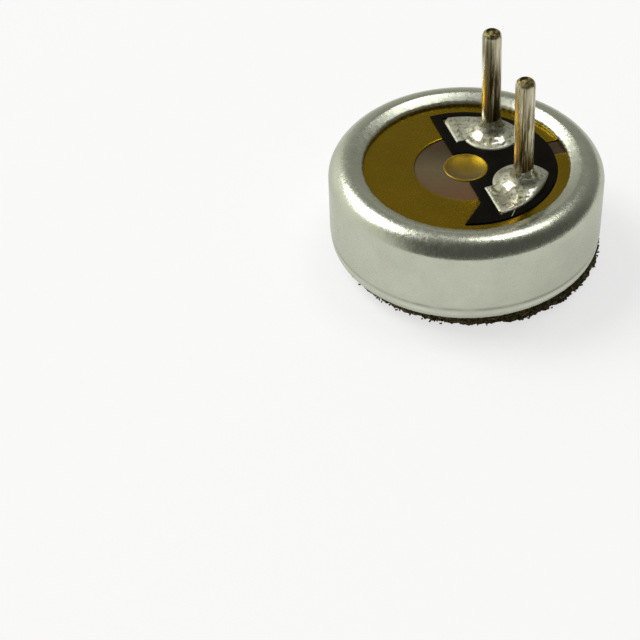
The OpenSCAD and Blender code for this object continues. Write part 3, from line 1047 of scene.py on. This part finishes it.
# Felt
FELT_SEGMENTS = 480
FACE_RINGS = np.linspace(0, 0.985, 50)
BACK_RINGS = (0.97, 0.8, 0.4, 0)
FELT_GAP = 0.001
FELT_LOW = 0.035
FELT_FLOOR = 0.004
FELT_EDGE = 0.02
EDGE_SHARE = 0.95
EDGE_RINGS = 9
CRUMB_SQUEEZE = 1.5
LUMPS_UNDER = 0.03
CRUMBS = ((0.03, 3.0, 1.0), (0.06, 7.0, 6.0), (0.05, 16.0, 2.0))
LUMPS = ((0.018, 6.0, 8.0), (0.014, 17.0, 5.0))
MOTTLE = ((0.8, 13.0, 4.0),)
MOTTLE_LEVEL = 0.15

# The felt's frayed edge spreads a little past the cut disc, and most on the photograph's left
FELT_SPREAD = 0.09
FELT_SLIP = 0.05

# Fibres: their steps and thickness, and how they vary
FIBRE_SEED = 11
FIBRE_STEPS = 9
FIBRE_R = 0.012
FIBRE_THICK = (0.7, 1.2)
FIBRE_SHADE = (0.1, 1.0)
FIBRE_CURL = 0.3
FIBRE_WANDER = 0.35 * FIBRE_CURL
SHADE_POWER = 1.5
TUBE_SIDES = 3
TUBE_TAPER = 6
TUBE_LEAST = 0.15
ACROSS = (0.13, 0.21, 0.97)

# Short fibres at the edge, which clump into crumbs that are so many times as thick
SIDE_FIBRES = 900
CRUMB_SHARE = 1.7
SIDE_INSET = (-0.01, 0.10)
SIDE_HEIGHT = (0.02, 0.26)
SIDE_STEP = (0.005, 0.010)
SIDE_TURN = 1.2
SIDE_CLIMB = 0.6
SIDE_PAST = 0.05

# Long fibres over the face
FACE_FIBRES = 1000
FACE_INSET = 0.05
FACE_HEIGHT = (0.012, 0.04)
FACE_STEP = (0.05, 0.11)
FACE_CLIMB = 0.1

random = np.random.default_rng(FIBRE_SEED)


def frayed(x, y):
    """How far the felt's edge spreads, in the direction of a point from its middle."""
    return FELT_SPREAD + FELT_SLIP * (x * LEFT.x + y * LEFT.y) / math.hypot(x, y)


def felt_body():
    """The felt disc with a crumbly edge and a lumpy face."""
    top = FRONT_Z - FELT_GAP
    profile = [(FELT_R * share, FELT_LOW) for share in FACE_RINGS]
    profile += [(FELT_R, z) for z in np.linspace(FELT_LOW + FELT_EDGE, top - FELT_EDGE, EDGE_RINGS)]
    profile += [(FELT_R * share, top) for share in BACK_RINGS]
    vertices, faces = lathe(profile, FELT_SEGMENTS)
    rough = []
    for x, y, z in vertices:
        radius = math.hypot(x, y)
        place = (x, y, CRUMB_SQUEEZE * z)
        if radius > FELT_R * EDGE_SHARE:
            push = 1 + (waves(place, CRUMBS) + frayed(x, y)) / radius
            x, y = x * push, y * push
        if z < top - LUMPS_UNDER:
            z = max(FELT_FLOOR, z + waves(place, LUMPS))
        rough.append((x + FELT_X, y + FELT_Y, z))
    return rough, faces


def fibre_path(radius, turn, height, heading, step, climb):
    """A curly path that wanders from a point of the felt, kept above what the felt stands on."""
    points = [np.array((FELT_X + radius * math.cos(turn), FELT_Y + radius * math.sin(turn), height))]
    bend = random.normal(0, FIBRE_CURL)
    for _ in range(FIBRE_STEPS):
        heading += bend + random.normal(0, FIBRE_WANDER)
        rise = random.normal(0, climb)
        move = np.array([math.cos(heading), math.sin(heading), rise]) * step
        points.append(points[-1] + move)
    path = np.array(points)
    path[:, 2] = np.clip(path[:, 2], FIBRE_R * 2, FRONT_Z - FIBRE_R * 2)
    return path


def side_fibre(turn):
    """A short fibre at the edge, and the radius that it stays within."""
    spread = frayed(math.cos(turn), math.sin(turn))
    radius = FELT_R + spread - random.uniform(*SIDE_INSET)
    height = random.uniform(*SIDE_HEIGHT)
    heading = turn + random.normal(0, SIDE_TURN)
    path = fibre_path(radius, turn, height, heading, random.uniform(*SIDE_STEP), SIDE_CLIMB)
    return path, FELT_R + spread + SIDE_PAST


def face_fibre(turn):
    """A long fibre over the face, and the radius that it stays within."""
    radius = (FELT_R - FACE_INSET) * math.sqrt(random.uniform())
    height = random.uniform(*FACE_HEIGHT)
    heading = random.uniform(0, 2 * math.pi)
    path = fibre_path(radius, turn, height, heading, random.uniform(*FACE_STEP), FACE_CLIMB)
    return path, FELT_R


def fibre_tube(path, radius):
    """A tube with few sides along a path, tapered to its ends."""
    along = np.gradient(path, axis=0)
    along /= np.linalg.norm(along, axis=1)[:, None]
    side = np.cross(along, ACROSS)
    side /= np.linalg.norm(side, axis=1)[:, None]
    up = np.cross(side, along)
    count = len(path)
    thick = radius * np.sqrt(np.clip(1 - np.linspace(-1, 1, count) ** TUBE_TAPER, TUBE_LEAST, 1))
    lines = []
    for k in range(TUBE_SIDES):
        turn = 2 * math.pi * k / TUBE_SIDES
        lines.append(path + (side * math.cos(turn) + up * math.sin(turn)) * thick[:, None])
    vertices = np.stack(lines, 1).reshape(-1, 3)
    faces = []
    for first in range(0, TUBE_SIDES * (count - 1), TUBE_SIDES):
        for k in range(TUBE_SIDES):
            a, b = first + k, first + (k + 1) % TUBE_SIDES
            faces.append((a, b, b + TUBE_SIDES, a + TUBE_SIDES))
    faces.append(tuple(reversed(range(TUBE_SIDES))))
    faces.append(tuple(range(len(vertices) - TUBE_SIDES, len(vertices))))
    return vertices, faces


def felt_mesh():
    """The felt with loose wool fibres round its edge and over its face, each with its own shade."""
    body, faces = felt_body()
    shade = [np.array([max(0.0, MOTTLE_LEVEL + waves(place, MOTTLE)) for place in body])]
    vertices = [np.array(body)]
    count = len(body)
    middle = (FELT_X, FELT_Y)
    for k in range(SIDE_FIBRES + FACE_FIBRES):
        turn = random.uniform(0, 2 * math.pi)
        at_side = k < SIDE_FIBRES
        path, limit = side_fibre(turn) if at_side else face_fibre(turn)
        away = path[:, :2] - middle
        reach = np.maximum(np.linalg.norm(away, axis=1), TINY)
        path[:, :2] = middle + away * np.minimum(1, limit / reach)[:, None]
        thick = FIBRE_R * random.uniform(*FIBRE_THICK) * (CRUMB_SHARE if at_side else 1.0)
        tube, tube_faces = fibre_tube(path, thick)
        vertices.append(tube)
        faces += [tuple(count + i for i in face) for face in tube_faces]
        shade.append(np.full(len(tube), random.uniform(*FIBRE_SHADE) ** SHADE_POWER))
        count += len(tube)
    mesh = drawn_mesh("felt_disc", np.concatenate(vertices) * MM, faces, strand=np.concatenate(shade))
    mesh.polygons.foreach_set("use_smooth", np.ones(len(mesh.polygons), bool))
    return mesh


felt_piece = add_piece("felt_disc", felt_mesh(), felt, "felt", "felt_cover")


# Studio, in metres
FLOOR_HALF = 2.0
FLOOR_DROP = 0.00002
BACKDROP_WHITE = 0.68
LAMP_FAR = 0.5

# Lamps: azimuth and elevation in degrees, width, and power in watts
LAMPS = {
    "left_softbox": (-64, 50, 0.26, 1.5),
    "right_softbox": (42, 68, 0.165, 0.45),
}

# Patches of the surroundings: azimuth, elevation, the cosines where light starts and is full, and both levels
ROOM_LIGHTS = (
    (-10, 12, -0.1, 0.8, 0.11, 0.32),
    (-10, 0, 0.75, 1.0, 0.0, 0.22),
    (-82, 0, 0.40, 0.88, 0.0, 0.80),
)


def add_floor():
    """A wide pale table top."""
    shape = bmesh.new()
    bmesh.ops.create_grid(shape, x_segments=8, y_segments=8, size=FLOOR_HALF)
    mesh = bpy.data.meshes.new("floor")
    shape.to_mesh(mesh)
    shape.free()
    floor = bpy.data.objects.new("floor", mesh)
    floor.location.z = -FLOOR_DROP
    bpy.context.scene.collection.objects.link(floor)
    finish = Finish("white_table", Roughness=0.7, Specular_IOR_Level=0.1)
    paper = finish.noise(finish.place(), scale=4.0, roughness=0.5)
    finish.set({"Base Color": finish.tones(paper, *TABLE_WHITE)})

    # Part of the white is the backdrop's own, where it is seen straight, in metal or through glass
    ray = finish.node("LightPath", {}).outputs
    seen = finish.count("ADD", ray["Is Camera Ray"], ray["Is Glossy Ray"])
    seen = finish.count("ADD", seen, ray["Is Transmission Ray"])
    share = finish.count("MULTIPLY", seen, BACKDROP_WHITE)
    white = finish.node("Emission", {"Strength": 1.0}).outputs[0]
    blend = finish.node("MixShader", {0: share, 1: finish.shader.outputs[0], 2: white}).outputs[0]
    finish.tree.links.new(blend, finish.tree.nodes["Material Output"].inputs["Surface"])
    mesh.materials.append(finish.material)


def towards(azimuth, elevation):
    """A direction from the object, in degrees: azimuth 0 is away from the camera and 90 is to its right."""
    turn, rise = math.radians(azimuth), math.radians(elevation)
    return turned(math.sin(turn) * math.cos(rise), math.cos(turn) * math.cos(rise), math.sin(rise))


def add_softbox(name, azimuth, elevation, width, power):
    """A square lamp that faces the object."""
    direction = towards(azimuth, elevation)
    lamp = bpy.data.lights.new(name, "AREA")
    lamp.shape = "SQUARE"
    lamp.size = width
    lamp.energy = power
    holder = bpy.data.objects.new(name, lamp)
    holder.location = direction * LAMP_FAR
    holder.rotation_euler = direction.to_track_quat("Z", "Y").to_euler()
    bpy.context.scene.collection.objects.link(holder)


def add_room():
    """Dim surroundings: unlit on the camera's side, a grey wall behind and a white panel on the left."""
    world = bpy.data.worlds.new("studio")
    bpy.context.scene.world = world
    world.use_nodes = True
    room = Nodes(world.node_tree)
    where = room.node("TexCoord", {}).outputs["Generated"]
    level = 0.0
    for azimuth, elevation, start, end, low, high in ROOM_LIGHTS:
        inputs = {0: where, 1: towards(azimuth, elevation)}
        facing = room.node("VectorMath", inputs, operation="DOT_PRODUCT").outputs["Value"]
        inputs = {"Value": facing, "From Min": start, "From Max": end, "To Min": low, "To Max": high}
        patch = room.node("MapRange", inputs, interpolation_type="SMOOTHSTEP").outputs["Result"]
        level = room.count("ADD", level, patch)
    room.fill(room.tree.nodes["Background"], {"Strength": level, "Color": ROOM_WHITE})


def add_camera():
    """The photograph's camera: aimed so that the board's middle falls at its pixel."""
    focal = LENS / SENSOR * IMAGE_SIZE
    back = turned(0, -math.cos(CAMERA_ELEVATION), math.sin(CAMERA_ELEVATION))
    right = turned(1, 0, 0)
    up = right.cross(-back)
    cos, sin = math.cos(CAMERA_ROLL), math.sin(CAMERA_ROLL)
    axes = Matrix((cos * right + sin * up, sin * right - cos * up, -back))
    middle = IMAGE_SIZE / 2
    ray = Vector((BOARD_PIXEL[0] - middle, BOARD_PIXEL[1] - middle, focal))
    aimed = Vector((0, 0, 1)).rotation_difference(ray).to_matrix() @ axes
    camera = bpy.data.cameras.new("camera")
    camera.lens = LENS
    camera.sensor_width = SENSOR
    camera.clip_start = CLIP_NEAR
    camera.clip_end = CLIP_FAR
    holder = bpy.data.objects.new("camera", camera)
    place = (Vector((0, 0, FOIL_TOP)) + back * CAMERA_DISTANCE) * MM
    turn = Matrix((aimed[0], -aimed[1], -aimed[2])).transposed()
    holder.matrix_world = Matrix.Translation(place) @ turn.to_4x4()
    bpy.context.scene.collection.objects.link(holder)
    bpy.context.scene.camera = holder


add_floor()
for name, settings in LAMPS.items():
    add_softbox(name, *settings)
add_room()
add_camera()
bpy.context.scene.view_settings.view_transform = "Standard"
